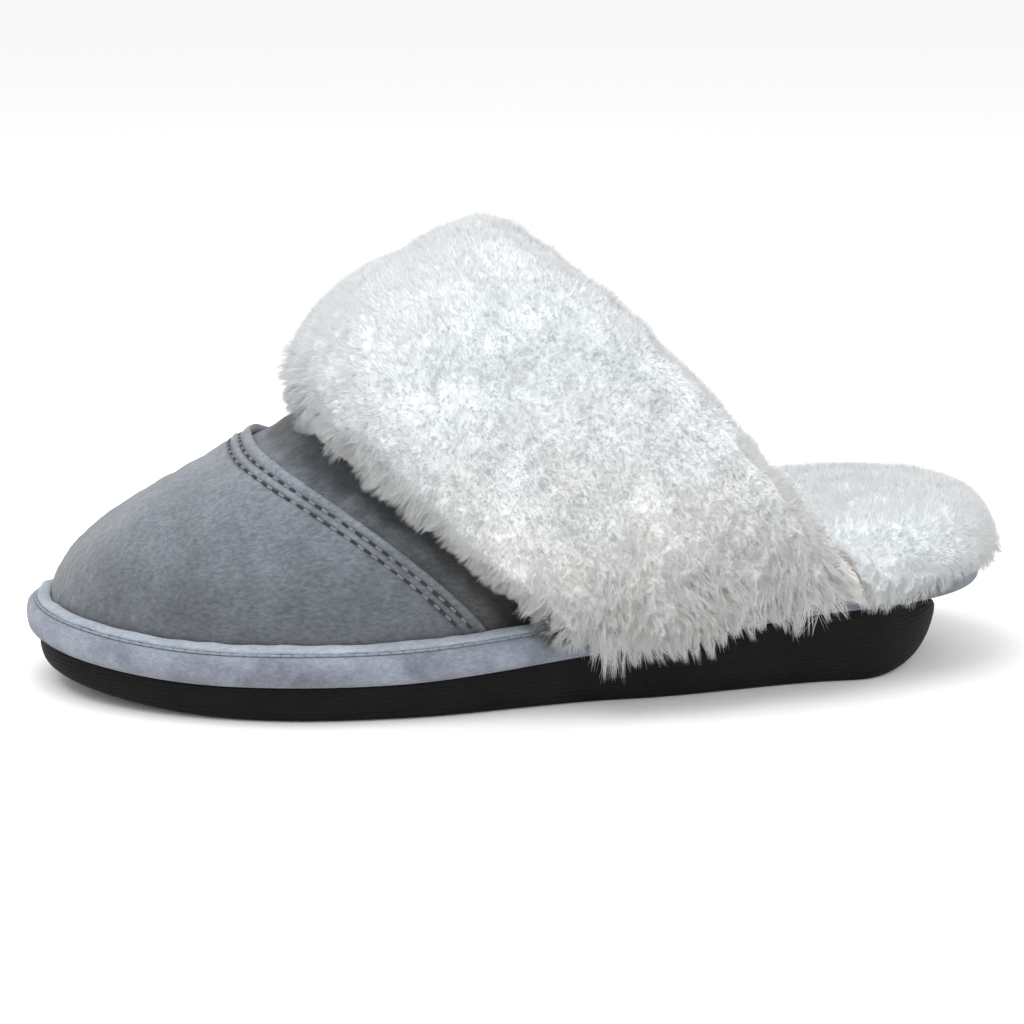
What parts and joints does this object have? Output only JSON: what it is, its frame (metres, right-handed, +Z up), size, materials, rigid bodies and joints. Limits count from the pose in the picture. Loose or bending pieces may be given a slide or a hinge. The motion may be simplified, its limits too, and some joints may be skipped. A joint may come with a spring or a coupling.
{
  "type": "house slipper",
  "caption": "Backless suede house slipper with a deep turned-down fleece cuff, fleece footbed, wrapped platform and low wedge outsole.",
  "frame": {"origin": "on the ground under the middle of the sole's length and width, on the flat of the outsole", "axes": "+X from the toe to the heel, +Y towards the inner side of the foot, +Z up"},
  "size_m": [0.2735, 0.1119, 0.1234],
  "materials": {
    "upper_suede": "napped mid-grey suede",
    "rand_suede": "napped light blue-grey suede",
    "wool": "white shorn wool pile",
    "hide": "flesh side of sheepskin",
    "outsole_rubber": "matt charcoal, fine level lines on the side",
    "cushion_foam": "closed-cell foam",
    "fibre_board": "pressed fibre",
    "thread": "waxed dark grey thread"
  },
  "bodies": {
    "root": {"outsole": "outsole_rubber", "bottom_filler": "cushion_foam", "insole_board": "fibre_board", "cushion_foam": "cushion_foam", "rand": "rand_suede", "footbed_skin": "hide", "footbed_wool": "wool", "welt_strip": "rand_suede", "welt_thread": "thread", "vamp_suede": "upper_suede", "vamp_thread_rear": "thread", "vamp_thread_front": "thread", "collar_suede": "upper_suede", "toe_lining_wool": "wool", "collar_lining_wool": "wool", "cuff_skin": "hide", "cuff_wool": "wool", "rim_thread": "thread"}
  },
  "joints": []
}
